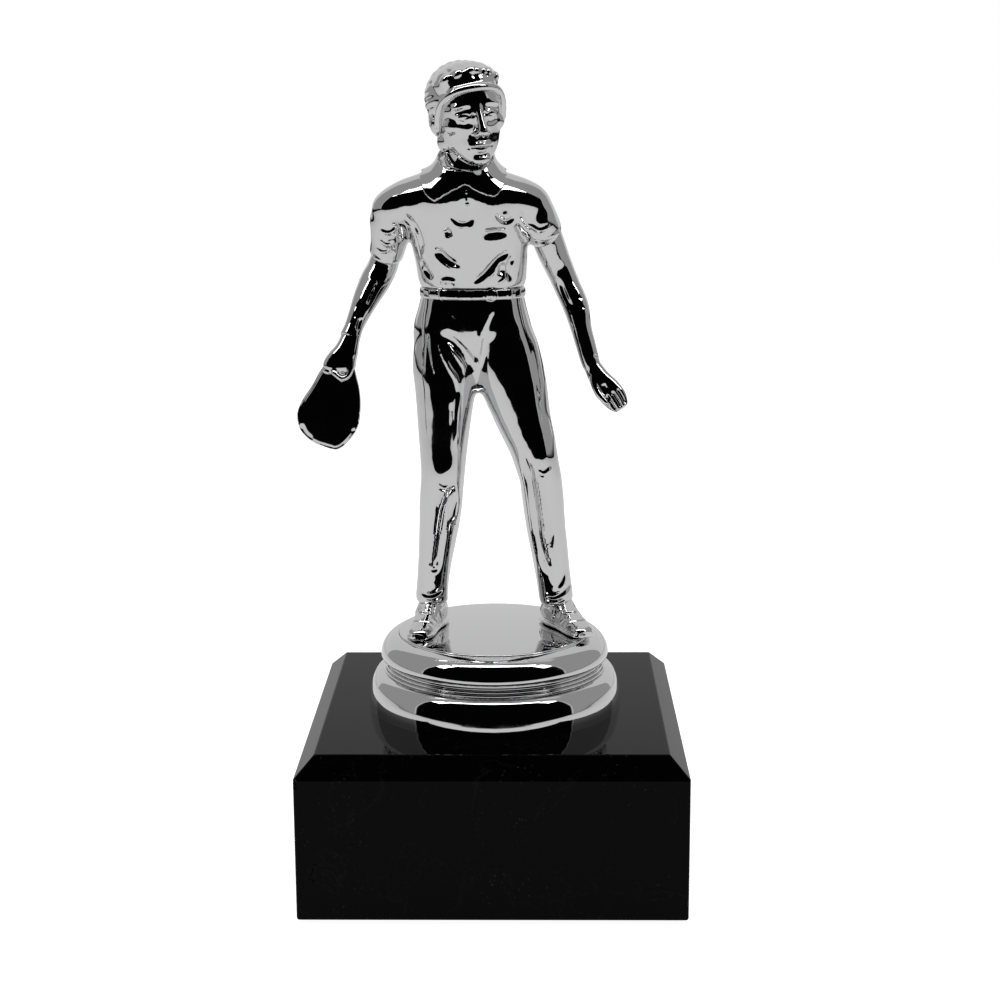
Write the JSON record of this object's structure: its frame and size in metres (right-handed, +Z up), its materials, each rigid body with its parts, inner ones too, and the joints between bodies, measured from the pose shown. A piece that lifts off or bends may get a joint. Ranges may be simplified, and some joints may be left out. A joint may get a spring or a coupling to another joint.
{
  "type": "figure trophy",
  "caption": "Plated table tennis player figure on a round moulded riser, bolted to a chamfered black marble block with a felt pad.",
  "frame": {"origin": "middle of the felt pad's underside, on the axis of the stud", "axes": "+Z up along the stud, the figure and the block's plain front face -Y, +X is the side of the figure's open left hand"},
  "size_m": [0.0715, 0.07, 0.1512],
  "materials": {
    "bright_plating": "mirror-bright plating over a casting",
    "black_marble": "polished black marble with fine grey flecks",
    "felt": "pressed black felt",
    "zinc_steel": "zinc-plated steel"
  },
  "bodies": {
    "base": {"marble_block": "black_marble", "felt_pad": "felt", "flat_washer": "zinc_steel"},
    "figure": {"threaded_stud": "zinc_steel", "hex_nut": "zinc_steel", "riser": "bright_plating", "figure_plate": "bright_plating", "hips": "bright_plating", "belt": "bright_plating", "torso": "bright_plating", "neck": "bright_plating", "head": "bright_plating", "right_leg": "bright_plating", "left_leg": "bright_plating", "right_shoe": "bright_plating", "left_shoe": "bright_plating", "right_upper_arm": "bright_plating", "left_upper_arm": "bright_plating", "right_forearm": "bright_plating", "left_forearm": "bright_plating", "right_hand": "bright_plating", "left_hand": "bright_plating", "bat": "bright_plating"}
  },
  "joints": [
    {"name": "figure_swivel", "type": "hinge", "parent": "base", "child": "figure", "pos_m": [0, 0, 0.0308], "axis": [0, 0, 1], "continuous": true}
  ]
}
